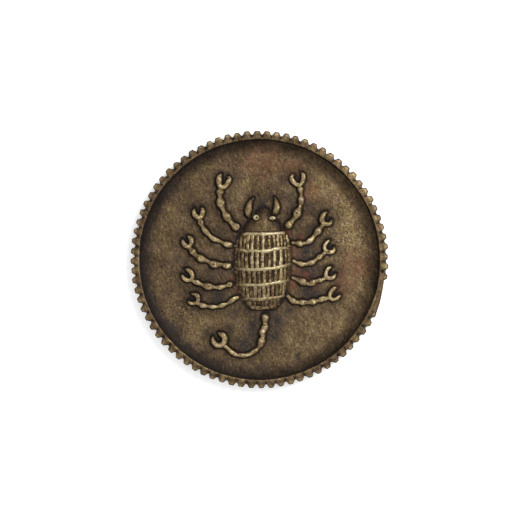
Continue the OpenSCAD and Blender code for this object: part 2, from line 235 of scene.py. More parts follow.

# %% [markdown]
# Old brass is bright only where fingers and cloth rub it. In the hollows it keeps a brown-black
# skin. Every mesh carries one number at each vertex for wear and painted shading, from 0 in a dark
# recess to 1 on a rubbed crest, and one recipe of shader nodes reads it. Besides wear and patina,
# the number holds painted shade in corners, creases and on steep sides, and painted light on crests
# and towards the right-hand side. Noise breaks it up, fine scratches run over it, and stains of red
# copper, green and dirt lie on top.

# %% Aged brass
class Nodes:
    """Makes shader nodes and joins them in one call."""

    def __init__(self, material):
        material.use_nodes = True
        self.tree = material.node_tree
        self.shader = self.tree.nodes["Principled BSDF"]

    def add(self, kind, settings=None, **sockets):
        node = self.tree.nodes.new(kind)
        for key, value in (settings or {}).items():
            setattr(node, key, value)
        for key, value in sockets.items():
            by_number = key[1:].isdigit()
            socket = node.inputs[int(key[1:]) if by_number else key.replace("_", " ")]
            if isinstance(value, bpy.types.NodeSocket):
                self.tree.links.new(value, socket)
            else:
                socket.default_value = value
        return node

    def math(self, operation, a, b=0.0, clamp=False):
        settings = {"operation": operation, "use_clamp": clamp}
        return self.add("ShaderNodeMath", settings, i0=a, i1=b).outputs[0]

    def noise(self, place, scale, detail=3.0, rough=0.55):
        return self.add(
            "ShaderNodeTexNoise", None, Vector=place, Scale=scale, Detail=detail, Roughness=rough
        ).outputs["Fac"]

    def swing(self, place, scale, detail=3.0, rough=0.55):
        """The same noise, moved down so that it swings about 0."""
        return self.math("SUBTRACT", self.noise(place, scale, detail, rough), 0.5)

    def plus(self, level, value, share, clamp=False):
        return self.math("ADD", level, self.math("MULTIPLY", value, share), clamp)

    def spread(self, value, low, high, to_low=0.0, to_high=1.0):
        return self.add(
            "ShaderNodeMapRange", {"interpolation_type": "SMOOTHSTEP"},
            Value=value, From_Min=low, From_Max=high, To_Min=to_low, To_Max=to_high,
        ).outputs[0]

    def blend(self, amount, a, b, kind="MIX"):
        settings = {"data_type": "RGBA", "blend_type": kind}
        return self.add("ShaderNodeMix", settings, i0=amount, i6=a, i7=b).outputs[2]

    def ramp(self, value, stops):
        node = self.add("ShaderNodeValToRGB", None, Fac=value)
        bar = node.color_ramp.elements
        while len(bar) < len(stops):
            bar.new(0.5)
        for element, (place, colour) in zip(bar, stops):
            element.position = place
            element.color = (*colour, 1)
        return node.outputs["Color"]


# The patina from the deepest recess to the most rubbed crest
PATINA = [
    (0.0, (0.010, 0.007, 0.004)), (0.2, (0.030, 0.021, 0.013)), (0.42, (0.098, 0.068, 0.039)),
    (0.58, (0.175, 0.130, 0.071)), (0.78, (0.302, 0.239, 0.133)), (1.0, (0.430, 0.386, 0.244)),
]
COPPER = (0.155, 0.057, 0.034, 1)
# Dark colour for soot and for painted shade near the relief and in the hollow curve
SOOT_AND_SHADE = (0.027, 0.023, 0.024, 1)
VERDIGRIS = (0.022, 0.024, 0.018, 1)
# The skin's own tone drifts between a pinkish and a greenish one
TONES = ((1.02, 0.93, 0.99, 1), (1.02, 1.0, 0.84, 1))
# Stains: middle x, y and reach
RED_STAINS = [
    (0.4, 10.6, 2.4), (3.6, 9.9, 1.4), (5.45, 7.4, 1.3), (3.15, 2.75, 0.6), (3.75, 0.7, 0.9),
    (4.0, -1.0, 1.0), (3.7, -2.7, 0.9), (-2.4, -3.3, 0.5), (4.5, 2.2, 0.6), (6.2, -2.9, 0.6),
    (10.6, -0.6, 2.0), (9.2, -2.6, 1.5), (5.2, -2.0, 1.0), (8.3, 10.4, 0.7), (-3.1, -2.1, 0.5),
]
DARK_STAINS = [(4.3, -10.6, 0.55), (-6.2, 6.2, 0.6), (-4.4, -4.3, 1.2)]
# Where the skin is coarse and sparkles
COARSE = [(9.9, 1.8, 3.0), (9.6, 5.4, 1.6), (-8.2, -5.6, 2.4)]
# Fineness of each noise, in lumps per metre
WIDE, TONE, STAIN, SOOT_AND_SHADE_NOISE, FINE, SPARKLE, BUMP, SPECK = 420, 1300, 1500, 1700, 3600, 4200, 4500, 7000
# Scratches: turn from the vertical, strength; then how wide and how long they are, in metres
SCRATCHES = [(0.4, 1.0), (0.1, 0.8), (-0.7, 0.5)]
SCRATCH_SIZE = (1 / 6500, 1 / 900, 1 / 900)
BUMP_DEPTH = 0.00004  # metres


def stain(n, place, spots):
    """How strongly a point lies inside any of the round spots, its edge broken up by noise."""
    total = None
    for x, y, reach in spots:
        middle = (x * MM, y * MM, FIELD_Z * MM)
        apart = n.add("ShaderNodeVectorMath", {"operation": "DISTANCE"}, i0=place, i1=middle)
        inside = n.spread(apart.outputs["Value"], reach * 1.25 * MM, reach * 0.3 * MM)
        total = inside if total is None else n.math("MAXIMUM", total, inside)
    return n.math("MULTIPLY", total, n.spread(n.noise(place, STAIN, 5.0, 0.7), 0.38, 0.62))


def scratch_lines(n, place):
    """Thin broken lines in a few directions."""
    lines = None
    for turn, strength in SCRATCHES:
        along = n.add(
            "ShaderNodeMapping", {"vector_type": "TEXTURE"},
            Vector=place, Rotation=(0, 0, turn), Scale=SCRATCH_SIZE,
        ).outputs[0]
        line = n.math("MULTIPLY", n.spread(n.noise(along, 1.0, 2.0), 0.5, 0.75), strength)
        lines = line if lines is None else n.math("MAXIMUM", lines, line)
    return lines


def aged_brass(name, mottle, grain, scratches, stains):
    """mottle, grain and scratches say how far each unevenness moves the number for wear and painted
    shading.
    """
    material = bpy.data.materials.new(name)
    n = Nodes(material)
    place = n.add("ShaderNodeTexCoord").outputs["Object"]
    rub_and_shading = n.add("ShaderNodeAttribute", {"attribute_name": "rub_and_shading"}).outputs["Fac"]
    brushed = n.add(
        "ShaderNodeMapping", {"vector_type": "TEXTURE"},
        Vector=place, Rotation=(0, 0, 0.35), Scale=(1, 1.8, 1),
    ).outputs[0]
    lines = scratch_lines(n, place)
    level = n.plus(rub_and_shading, n.swing(place, WIDE, 5.0, 0.65), mottle)
    level = n.plus(level, n.swing(brushed, FINE, 2.0, 0.7), grain)
    level = n.plus(level, n.swing(place, SPECK, 1.0), grain)
    level = n.plus(level, n.math("SUBTRACT", lines, 0.3), scratches, clamp=True)
    if stains:
        sparkle = n.math("MULTIPLY", n.swing(place, SPARKLE, 1.0), 1.1)
        level = n.plus(level, sparkle, stain(n, place, COARSE), clamp=True)
    colour = n.ramp(level, PATINA)
    tone = n.spread(n.noise(place, TONE, 4.0, 0.7), 0.36, 0.64)
    colour = n.blend(1.0, colour, n.blend(tone, *TONES), "MULTIPLY")
    if stains:
        dark = n.math("MULTIPLY", stain(n, place, DARK_STAINS), 0.8)
        colour = n.blend(dark, colour, VERDIGRIS)
        # Soot and painted shade share one number and this dark colour
        soot_and_shade = n.add("ShaderNodeAttribute", {"attribute_name": "soot_and_shade"}).outputs["Fac"]
        soot_and_shade = n.math("MULTIPLY", soot_and_shade, n.spread(n.noise(place, SOOT_AND_SHADE_NOISE, 5.0, 0.75), 0.26, 0.56))
        colour = n.blend(soot_and_shade, colour, SOOT_AND_SHADE)
        red = n.math("MULTIPLY", stain(n, place, RED_STAINS), 0.5)
        colour = n.blend(red, colour, COPPER)
    height = n.plus(n.noise(place, BUMP, 5.0, 0.65), lines, 0.4)
    bump = n.add("ShaderNodeBump", None, Strength=0.5, Distance=BUMP_DEPTH, Height=height)
    links = n.tree.links
    links.new(colour, n.shader.inputs["Base Color"])
    # Rubbed brass is more metallic and smoother than the skin in a recess
    links.new(n.spread(level, 0.1, 0.5, 0.7, 0.95), n.shader.inputs["Metallic"])
    links.new(n.spread(level, 0.1, 0.9, 0.66, 0.46), n.shader.inputs["Roughness"])
    links.new(bump.outputs[0], n.shader.inputs["Normal"])
    n.shader.inputs["Specular IOR Level"].default_value = 0.15
    return material


FIELD_BRASS = aged_brass("field_brass", 0.42, 0.46, 0.13, stains=True)
RIM_BRASS = aged_brass("rim_brass", 0.4, 0.5, 0.06, stains=False)
RELIEF_BRASS = aged_brass("relief_brass", 0.34, 0.5, 0.04, stains=False)
RECESS_BRASS = aged_brass("recess_brass", 0.3, 0.42, 0.05, stains=False)
print("finishes:", [m.name for m in bpy.data.materials if "brass" in m.name])

# %% [markdown]
# One helper turns points and faces into a piece: it writes the numbers for wear and painted shading,
# gives the finish, and tells the frame the body that carries the piece.

# %% Make a piece
MADE = {}


def write_numbers(mesh, name, values):
    numbers = np.clip(values, 0, 1).astype(np.float32)
    mesh.attributes.new(name, "FLOAT", "POINT").data.foreach_set("value", numbers)


def make_piece(name, points, faces, rub_and_shading, finish):
    mesh = bpy.data.meshes.new(name)
    mesh.from_pydata((np.asarray(points) * MM).tolist(), [], [list(map(int, f)) for f in faces])
    mesh.polygons.foreach_set("use_smooth", [True] * len(mesh.polygons))
    write_numbers(mesh, "rub_and_shading", rub_and_shading)
    mesh.materials.append(finish)
    mesh.update()
    piece = bpy.data.objects.new(name, mesh)
    scene.collection.objects.link(piece)
    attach(piece, BODY)
    MADE[name] = piece
    return piece


def grid_faces(rows, columns, closed_rows=False, closed_columns=False):
    """Quads of a grid of points, row by row; a closed direction joins its last to its first."""
    last_row = rows if closed_rows else rows - 1
    last_column = columns if closed_columns else columns - 1
    r, c = np.meshgrid(np.arange(last_row), np.arange(last_column), indexing="ij")
    r, c = r.ravel(), c.ravel()
    r2, c2 = (r + 1) % rows, (c + 1) % columns
    corners = [r * columns + c, r * columns + c2, r2 * columns + c2, r2 * columns + c]
    return np.column_stack(corners).tolist()


def tube_faces(rows, columns):
    """Quads of a grid rolled into a tube, and a flat face at each end."""
    faces = grid_faces(rows, columns, closed_columns=True)
    faces.append(list(range(columns - 1, -1, -1)))
    faces.append(list(range((rows - 1) * columns, rows * columns)))
    return faces


print("a grid of 3 by 4 points has", len(grid_faces(3, 4)), "quads")

# %% [markdown]
# Legs, claws, jaws and tail are half-round bars laid on the field. Each follows a line of a few
# given points, with a width at each, so beads and necks come from the widths alone. The
# exact model holds nearly the same points. Here the bar is a little fuller, and it gets a rounded
# end, a crest that wanders from side to side, a small foot where metal ran into the corner, and
# cast lumps.

# %% A cast bar
ARCH_POINTS = 21
SUNK = 0.07
BEAD_MEAN = 0.5
BEAD_CONTRAST = 0.95
BEAD_FULL = 1.14
FOOT_SPREAD = 1.06
CREST_WANDER = 0.12
CREST_WAVES = 4.1
LUMP_RISE = 0.07
LUMP_SHIFT = 0.05
PIT_DEPTH = 0.12
PIT_DULL = 0.45


def rounded_off(width, run, line_ends, round_ends):
    """The width along a bar, drawn in to a round nose at the ends that ask for it."""
    for distance, end_width, rounded in zip((run, run[-1] - run), line_ends, round_ends):
        if rounded:
            reach = max(0.5 * end_width, 0.05)
            width = width * np.sqrt(np.clip(1 - (1 - np.clip(distance / reach, 0, 1)) ** 2, 0.01, 1))
    return width


def cast_bar(line, rise, seed, pits=(), dull=0.0, round_ends=(True, True)):
    path = smooth_line(line)
    path[:, 2] = BEAD_MEAN * (path[:, 2] / BEAD_MEAN) ** BEAD_CONTRAST * BEAD_FULL
    ahead = np.gradient(path[:, :2], axis=0)
    ahead /= np.linalg.norm(ahead, axis=1, keepdims=True)
    across = np.column_stack([-ahead[:, 1], ahead[:, 0]])
    run = np.concatenate([[0], np.cumsum(np.linalg.norm(np.diff(path[:, :2], axis=0), axis=1))])
    width = rounded_off(path[:, 2], run, path[[0, -1], 2], round_ends)
    widest = np.array([width[np.abs(run - at) < 0.55].max() for at in run])

    # The arch: its foot spreads a little and its cheeks stand steep
    t = np.linspace(0, math.pi, ARCH_POINTS)
    c, s = np.cos(t), np.sin(t)
    spread_out = FOOT_SPREAD * np.sign(c) * np.abs(c) ** 0.7
    crest = CREST_WANDER * np.sin(run * CREST_WAVES + seed) * np.minimum(width, 0.6)
    side = 0.5 * width[:, None] * spread_out + crest[:, None] * s**2
    up = width[:, None] * rise * s**0.55
    points = np.empty((len(path), ARCH_POINTS, 3))
    points[..., :2] = path[:, None, :2] + across[:, None] * side[..., None]
    points[..., 2] = FIELD_Z + up
    flat = points.reshape(-1, 3)

    # Cast lumps, none of them at the foot
    rough = 0.5 * lumps(flat, 0.34, seed) + 0.35 * lumps(flat, 0.15, seed + 1)
    high = np.tile(s, len(path))
    lift = high * np.repeat(np.minimum(width / 0.5, 1), ARCH_POINTS)
    flat[:, 2] += LUMP_RISE * rough * lift
    flat[:, 0] += LUMP_SHIFT * lumps(flat, 0.3, seed + 2) * lift
    flat[:, 1] += LUMP_SHIFT * lumps(flat, 0.3, seed + 3) * lift

    # Crests are lighter, from wear and partly painted light, and the wide part of a bead more than
    # its neck; the necks get painted shade
    swell = np.repeat(width / widest, ARCH_POINTS)
    bead = 0.3 + 0.7 * ease(0.45, 0.9, swell)
    rub_and_shading = 0.34 + 0.3 * ease(0.0, 0.35, high) * bead + 0.15 * ease(0.6, 1.0, high)
    rub_and_shading += 0.24 * rough - dull
    for x, y, reach in pits:
        hollow = spot(flat, x, y, reach)
        flat[:, 2] -= PIT_DEPTH * hollow * lift
        rub_and_shading -= PIT_DULL * hollow
    # The feet are painted dark: painted shade in the corner where the bar meets the field
    feet = (np.arange(len(path)) * ARCH_POINTS)[:, None] + np.array([0, ARCH_POINTS - 1])
    flat[feet.ravel(), 2] = FIELD_Z - SUNK
    rub_and_shading[feet.ravel()] = 0.1
    return flat, tube_faces(len(path), ARCH_POINTS), rub_and_shading, path


def thicker(line, times):
    return [(x, y, width * times) for x, y, width in line]


def stretched(line, more):
    """The line with its last point carried on, so that a leg runs into its claw."""
    line = np.asarray(line, float)
    ahead = line[-1, :2] - line[-2, :2]
    ahead /= np.linalg.norm(ahead)
    return np.vstack([line, [*(line[-1, :2] + ahead * more), line[-1, 2]]])


bead_points = cast_bar([(0, 0, 0.4), (1, 0, 0.8), (2, 0, 0.4)], 0.85, 1)[0]
bead_height = float(bead_points[:, 2].max() - FIELD_Z)
print("a bar of one bead:", len(bead_points), "points, highest", round(bead_height, 2), "mm")

# %% [markdown]
# The points of the limbs: x, y and the width there. A leg starts at the body and ends in a claw, and
# both lists run from the head end to the tail end. Claws are open hooks, drawn from tip to tip. A
# loop then lays the bars down, two by two.

# %% Limb lines
LEGS_LEFT = [
    [(-2.15, 3.1, 0.46), (-2.5, 3.45, 0.78), (-3.0, 3.95, 0.44), (-3.5, 4.58, 0.76),
     (-3.88, 5.3, 0.4), (-4.18, 6.05, 0.84), (-4.24, 6.78, 0.42), (-4.24, 7.25, 0.74),
     (-4.16, 7.64, 0.42)],
    [(-2.78, 1.42, 0.36), (-3.4, 1.54, 0.6), (-4.15, 1.84, 0.3), (-4.88, 2.15, 0.48),
     (-5.42, 2.54, 0.34), (-5.85, 3.04, 0.56), (-6.16, 3.52, 0.34), (-6.36, 3.92, 0.58),
     (-6.46, 4.16, 0.4)],
    [(-2.92, -0.7, 0.4), (-3.55, -0.76, 0.6), (-4.1, -0.66, 0.34), (-4.88, -0.62, 0.74),
     (-5.6, -0.3, 0.34), (-6.34, 0.02, 0.74), (-6.85, 0.34, 0.38), (-7.22, 0.76, 0.68),
     (-7.42, 1.02, 0.42)],
    [(-2.8, -2.76, 0.36), (-3.25, -2.84, 0.52), (-3.62, -2.98, 0.32), (-4.2, -3.1, 0.52),
     (-4.85, -3.12, 0.34), (-5.52, -3.02, 0.74), (-6.2, -2.84, 0.36), (-6.78, -2.6, 0.52),
     (-7.16, -2.42, 0.34)],
    [(-2.15, -4.12, 0.28), (-2.9, -4.52, 0.46), (-3.48, -4.88, 0.28), (-4.02, -5.1, 0.48),
     (-4.55, -5.22, 0.28), (-5.08, -5.24, 0.42), (-5.6, -5.2, 0.28), (-6.1, -5.1, 0.5),
     (-6.5, -4.96, 0.34)],
]
LEGS_RIGHT = [
    [(2.85, 3.35, 0.46), (3.28, 3.7, 0.74), (3.74, 4.25, 0.4), (4.18, 4.95, 0.84),
     (4.48, 5.68, 0.34), (4.6, 6.38, 0.6), (4.6, 6.98, 0.3), (4.5, 7.54, 0.6), (4.43, 7.88, 0.38)],
    [(3.5, 1.74, 0.32), (3.98, 1.7, 0.28), (4.5, 1.65, 0.54), (5.0, 1.7, 0.32), (5.55, 1.95, 0.5),
     (6.0, 2.46, 0.32), (6.45, 3.02, 0.62), (6.75, 3.38, 0.36), (6.86, 3.52, 0.34)],
    [(3.62, -0.12, 0.24), (4.05, -0.4, 0.26), (4.65, -0.58, 0.42), (5.15, -0.6, 0.3),
     (5.75, -0.42, 0.46), (6.2, -0.1, 0.3), (6.6, 0.16, 0.44), (6.86, 0.38, 0.3),
     (7.05, 0.56, 0.32)],
    [(3.5, -2.0, 0.24), (4.15, -2.26, 0.32), (4.75, -2.52, 0.6), (5.3, -2.72, 0.34),
     (5.88, -2.6, 0.54), (6.3, -2.46, 0.32), (6.66, -2.36, 0.42), (6.9, -2.26, 0.32),
     (7.06, -2.18, 0.3)],
    [(3.05, -3.9, 0.28), (3.3, -4.25, 0.32), (3.72, -4.6, 0.5), (4.22, -4.74, 0.32),
     (4.75, -4.76, 0.5), (5.3, -4.8, 0.3), (5.88, -4.68, 0.54), (6.4, -4.56, 0.32),
     (6.88, -4.42, 0.5), (7.4, -4.28, 0.34)],
]
CLAWS_LEFT = [
    [(-4.05, 9.24, 0.14), (-4.25, 9.02, 0.34), (-4.35, 8.65, 0.46), (-4.35, 8.17, 0.46),
     (-4.1, 7.83, 0.4), (-3.74, 7.87, 0.4), (-3.43, 8.2, 0.4), (-3.23, 8.64, 0.38),
     (-3.4, 9.0, 0.16)],
    [(-7.0, 5.46, 0.14), (-7.1, 5.15, 0.3), (-7.05, 4.82, 0.36), (-6.78, 4.56, 0.4),
     (-6.45, 4.5, 0.36), (-6.22, 4.78, 0.38), (-6.12, 5.2, 0.42), (-6.32, 5.6, 0.16)],
    [(-8.34, 2.12, 0.14), (-8.3, 1.82, 0.3), (-8.12, 1.5, 0.38), (-7.8, 1.36, 0.38),
     (-7.5, 1.48, 0.34), (-7.37, 1.8, 0.4), (-7.42, 2.18, 0.4), (-7.84, 2.5, 0.14)],
    [(-8.44, -1.72, 0.14), (-8.28, -2.02, 0.3), (-8.0, -2.24, 0.34), (-7.65, -2.34, 0.32),
     (-7.34, -2.18, 0.32), (-7.26, -1.86, 0.38), (-7.42, -1.5, 0.4), (-7.7, -1.26, 0.32),
     (-8.08, -1.14, 0.14)],
    [(-7.72, -4.56, 0.14), (-7.55, -4.78, 0.28), (-7.2, -4.88, 0.28), (-6.85, -4.8, 0.28),
     (-6.64, -4.5, 0.34), (-6.7, -4.15, 0.38), (-6.98, -3.9, 0.3), (-7.42, -3.84, 0.14)],
]
CLAWS_RIGHT = [
    [(3.78, 9.2, 0.16), (3.56, 8.86, 0.32), (3.64, 8.5, 0.36), (3.96, 8.18, 0.36),
     (4.4, 8.04, 0.34), (4.71, 8.32, 0.36), (4.84, 8.78, 0.38), (4.78, 9.15, 0.34),
     (4.55, 9.4, 0.16)],
    [(7.48, 5.08, 0.14), (7.15, 4.94, 0.32), (6.93, 4.62, 0.42), (6.88, 4.2, 0.42),
     (7.06, 3.86, 0.36), (7.42, 3.74, 0.34), (7.76, 3.86, 0.32), (7.95, 4.3, 0.14)],
    [(7.74, 2.04, 0.14), (7.44, 1.84, 0.26), (7.24, 1.5, 0.32), (7.16, 1.12, 0.34),
     (7.34, 0.8, 0.36), (7.75, 0.7, 0.38), (8.1, 0.88, 0.34), (8.26, 1.3, 0.14)],
    [(7.92, -0.88, 0.14), (7.62, -1.02, 0.26), (7.38, -1.34, 0.3), (7.27, -1.72, 0.32),
     (7.38, -2.04, 0.34), (7.72, -2.12, 0.32), (8.1, -2.02, 0.32), (8.42, -1.62, 0.14)],
    [(8.56, -3.18, 0.14), (8.2, -3.26, 0.32), (7.9, -3.54, 0.34), (7.72, -3.92, 0.32),
     (7.8, -4.3, 0.34), (8.15, -4.46, 0.32), (8.56, -4.28, 0.32), (8.88, -3.92, 0.14)],
]
TAIL = [
    (0.76, -5.95, 0.5), (0.7, -6.38, 0.74), (0.66, -7.0, 0.44), (0.68, -7.42, 0.68),
    (0.5, -7.76, 0.62), (0.36, -8.06, 0.68), (0.42, -8.5, 0.46), (0.26, -9.05, 0.72),
    (-0.08, -9.72, 0.4), (-0.5, -10.12, 0.46), (-1.1, -10.42, 0.38), (-1.8, -10.55, 0.46),
    (-2.45, -10.46, 0.38), (-2.95, -10.2, 0.44), (-3.35, -9.88, 0.38), (-3.66, -9.58, 0.38),
]
TAIL_CLAW = [
    (-5.0, -8.46, 0.14), (-5.04, -8.85, 0.32), (-4.88, -9.2, 0.42), (-4.52, -9.42, 0.44),
    (-4.1, -9.42, 0.42), (-3.8, -9.15, 0.44), (-3.72, -8.72, 0.48), (-3.98, -8.32, 0.42),
    (-4.48, -8.08, 0.16),
]
JAW_LEFT = [
    (-1.02, 4.36, 0.24), (-1.14, 4.8, 0.62), (-1.16, 5.3, 0.86), (-1.06, 5.86, 0.66),
    (-0.82, 6.34, 0.38), (-0.56, 6.69, 0.14),
]
JAW_RIGHT = [
    (1.5, 4.72, 0.3), (1.8, 5.08, 0.64), (1.93, 5.52, 0.7), (1.94, 5.98, 0.54), (1.82, 6.4, 0.34),
    (1.64, 6.7, 0.14),
]
# Small pits left by bubbles on some beads: x, y, reach
PITS = [
    (-4.1, 7.28, 0.1), (-4.38, 7.1, 0.09), (-4.1, 6.05, 0.1), (-3.45, 4.35, 0.12), (-2.4, 3.4, 0.14),
    (-6.4, 3.95, 0.12), (-7.35, 0.85, 0.1), (-6.35, 0.1, 0.1), (-4.95, -0.62, 0.14),
    (-3.24, -2.84, 0.13), (-5.45, -3.05, 0.1), (-6.9, -2.62, 0.1),
    (4.1, 4.95, 0.12), (6.55, 0.3, 0.1), (7.55, 0.75, 0.1),
]
# Height as a share of the width
LEG_RISE, CLAW_RISE, JAW_RISE = 0.85, 0.9, 0.75
# How much fuller than its points a limb is cast
CLAW_FULL, JAW_LEFT_FULL, JAW_RIGHT_FULL, LOWER_RIGHT_LEG_FULL = 1.2, 0.84, 0.92, 1.16
# How much less a limb is rubbed
CLAW_DULL, TAIL_DULL, JAW_DULL = 0.03, 0.05, 0.16
# How far legs and tail are carried on into the claw
LEG_ON, TAIL_ON = 0.25, 0.3
INTO_CLAW = (True, False)  # round at the near end only

LIMBS = []


def limb(node, line, rise, dull=0.0, round_ends=(True, True)):
    seed = len(LIMBS) * 7 + 3
    points, faces, rub_and_shading, path = cast_bar(line, rise, seed, PITS, dull, round_ends)
    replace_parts(make_piece(f"{node}_cast", points, faces, rub_and_shading, RELIEF_BRASS), node)
    LIMBS.append(path)


for side, legs, claws in (("left", LEGS_LEFT, CLAWS_LEFT), ("right", LEGS_RIGHT, CLAWS_RIGHT)):
    for k, (leg, claw) in enumerate(zip(legs, claws), 1):
        full = LOWER_RIGHT_LEG_FULL if side == "right" and k > 1 else 1.0
        leg = stretched(thicker(leg, full), LEG_ON)
        limb(f"leg_{side}_{k}", leg, LEG_RISE, round_ends=INTO_CLAW)
        limb(f"claw_{side}_{k}", thicker(claw, CLAW_FULL), CLAW_RISE, CLAW_DULL)
limb("tail", stretched(TAIL, TAIL_ON), LEG_RISE, TAIL_DULL, INTO_CLAW)
limb("tail_claw", thicker(TAIL_CLAW, CLAW_FULL), CLAW_RISE, CLAW_DULL)
limb("jaw_left", thicker(JAW_LEFT, JAW_LEFT_FULL), JAW_RISE, JAW_DULL)
limb("jaw_right", thicker(JAW_RIGHT, JAW_RIGHT_FULL), JAW_RISE, JAW_DULL)
print("limbs:", len(LIMBS), "vertices in the tail:", len(MADE["tail_cast"].data.vertices))

# %% [markdown]
# The body is a low barrel lying on the field: part of a spindle whose axis runs below the surface.
# Its half width gives the radius at any place, and from that follow the core, the cross bands and
# the ribs, each a skin of its own height over the same barrel.

# %% Barrel shape
BODY_X = float((core_low[0] + core_high[0]) / 2)
HALF_W = float((core_high[0] - core_low[0]) / 2)
CORE_H = float(core_high[2] - FIELD_Z)
SPINDLE_R = (HALF_W**2 + CORE_H**2) / (2 * CORE_H)
SPINDLE_SINK = SPINDLE_R - CORE_H
STATIONS_Y = [-5.5, -5.1, -4.3, -2.8, -1.4, -0.2, 1.2, 2.9]
STATIONS_SHARE = [0.36, 0.5, 0.75, 0.91, 0.98, 1.0, 0.98, 0.81]


def barrel_radius(y):
    return np.hypot(HALF_W * np.interp(y, STATIONS_Y, STATIONS_SHARE), SPINDLE_SINK)


def over_barrel(x, y, height):
    """The point above (x, y) on the barrel, pushed out along its round by height."""
    radius = barrel_radius(y)
    angle = np.arcsin(np.clip((x - BODY_X) / radius, -0.99, 0.99))
    out = radius + height
    return np.column_stack([
        BODY_X + out * np.sin(angle), y, FIELD_Z - SPINDLE_SINK + out * np.cos(angle)
    ])


print("barrel", round(2 * HALF_W, 2), "wide,", round(CORE_H, 2), "high, radius", round(SPINDLE_R, 2))

# %% [markdown]
# The core shows only as dark metal between the ribs, so it gets the darkest patina. It is a grid
# across and along the barrel, closed underneath.

# %% Body core
CORE_ACROSS = 90
CORE_ALONG = 120
along = np.linspace(STATIONS_Y[0], STATIONS_Y[-1], CORE_ALONG)
reach = barrel_radius(along)
widest_angle = np.arccos(SPINDLE_SINK / reach)
share = np.linspace(-1, 1, CORE_ACROSS)
angle = widest_angle[:, None] * share[None, :]
core = np.empty((CORE_ALONG, CORE_ACROSS, 3))
core[..., 0] = BODY_X + reach[:, None] * np.sin(angle)
core[..., 1] = along[:, None]
core[..., 2] = FIELD_Z - SPINDLE_SINK + reach[:, None] * np.cos(angle)
core = core.reshape(-1, 3)
grain = lumps(core, 0.3, 51)
core[:, 2] += 0.02 * grain
left_edge = np.arange(CORE_ALONG) * CORE_ACROSS
core[np.concatenate([left_edge, left_edge + CORE_ACROSS - 1]), 2] = FIELD_Z - SUNK
core_faces = tube_faces(CORE_ALONG, CORE_ACROSS)
core_rub = 0.26 + 0.1 * grain + 0.14 * ease(-3.8, -5.0, core[:, 1])
core_piece = make_piece("body_core_cast", core, core_faces, core_rub, RECESS_BRASS)
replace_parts(core_piece, "body_core")
print("core vertices", len(core))

# %% [markdown]
# Bands and ribs are rounded bars that lie on the barrel. A bar follows a line of points across or
# along it; its cross-section stands on the barrel's own slope, so bars near the sides lean outwards.
# Each bar swells and thins a little along its length.

# %% Bars on the barrel
BAR_POINTS = 11


def barrel_bar(line, width, height, seed, bright, steps=8):
    path = smooth_line(line, steps)
    ahead = np.gradient(path, axis=0)
    ahead /= np.linalg.norm(ahead, axis=1, keepdims=True)
    side = np.column_stack([-ahead[:, 1], ahead[:, 0]])
    level_path = np.column_stack([path, np.zeros(len(path))])
    swell = 1 + 0.22 * lumps(level_path, 0.45, seed) + 0.12 * lumps(level_path, 0.17, seed + 1)
    t = np.linspace(0, math.pi, BAR_POINTS)
    off_share = 0.5 * width * np.sign(np.cos(t)) * np.abs(np.cos(t)) ** 0.85
    rings, rubs_and_shading = [], []
    for k in range(len(path)):
        rounding = 0.55 if k in (0, len(path) - 1) else 1.0
        off = off_share * swell[k] * rounding
        lift = height * (0.75 + 0.25 * swell[k]) * rounding * np.sin(t) ** 0.7
        lift[[0, -1]] = -SUNK
        rings.append(over_barrel(path[k, 0] + side[k, 0] * off, path[k, 1] + side[k, 1] * off, lift))
        # Bars low on the flanks are rubbed less and painted in shade, and swollen places more; the
        # edges of each bar get painted shade
        tilt = abs(path[k, 0] - BODY_X - 0.3) / HALF_W
        top = bright * (1 - 0.38 * ease(0.5, 1.05, tilt)) * (0.85 + 0.5 * (swell[k] - 0.8))
        rubs_and_shading.append(0.1 + top * ease(0.1, 0.6, np.sin(t)))
    points = np.vstack(rings)
    points[:, 2] = np.maximum(points[:, 2], FIELD_Z - SUNK)
    rough = lumps(points, 0.2, seed + 2)
    points[:, 2] += 0.02 * rough * np.tile(np.sin(t), len(path))
    return points, tube_faces(len(path), BAR_POINTS), np.concatenate(rubs_and_shading) + 0.28 * rough


def joined(parts):
    """Several point and face lists as one mesh of separate bars."""
    points, faces, rubs_and_shading, start = [], [], [], 0
    for p, f, r in parts:
        points.append(p)
        rubs_and_shading.append(r)
        faces += [[i + start for i in face] for face in f]
        start += len(p)
    return np.vstack(points), faces, np.concatenate(rubs_and_shading)


# Lines of the six bands across the body, tail end first: x, y
BANDS = [
    [(-0.95, -5.28), (-0.2, -5.36), (0.6, -5.38), (1.3, -5.3), (1.85, -5.16)],
    [(-1.95, -4.5), (-1.0, -4.42), (-0.3, -4.46), (0.4, -4.42), (1.0, -4.34), (1.7, -4.25),
     (2.4, -4.12), (2.75, -4.0)],
    [(-2.45, -2.86), (-1.3, -2.85), (-0.3, -2.88), (0.4, -2.84), (1.1, -2.74), (1.8, -2.6),
     (2.5, -2.5), (3.2, -2.38)],
    [(-2.68, -0.98), (-2.0, -1.1), (-1.2, -1.18), (-0.3, -1.18), (0.5, -1.12), (1.3, -1.06),
     (2.0, -0.96), (2.7, -0.78), (3.5, -0.55)],
    [(-2.6, 1.08), (-2.0, 0.98), (-1.3, 0.84), (-0.5, 0.86), (0.2, 0.8), (1.0, 0.86),
     (1.7, 1.04), (2.4, 1.12), (3.3, 1.18)],
    [(-1.9, 2.66), (-1.0, 2.7), (0.0, 2.67), (1.0, 2.7), (2.0, 2.78), (2.78, 2.82)],
]
BAND_W = 0.42
BAND_H = 0.22
BAND_BRIGHT = [0.5, 0.68, 0.86, 0.9, 0.92, 0.84]
for k, line in enumerate(BANDS):
    node = f"cross_band_{k + 1}"
    points, faces, rub_and_shading = barrel_bar(line, BAND_W, BAND_H, 60 + k * 5, BAND_BRIGHT[k])
    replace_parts(make_piece(f"{node}_cast", points, faces, rub_and_shading, RELIEF_BRASS), node)
print("bands:", len(BANDS))
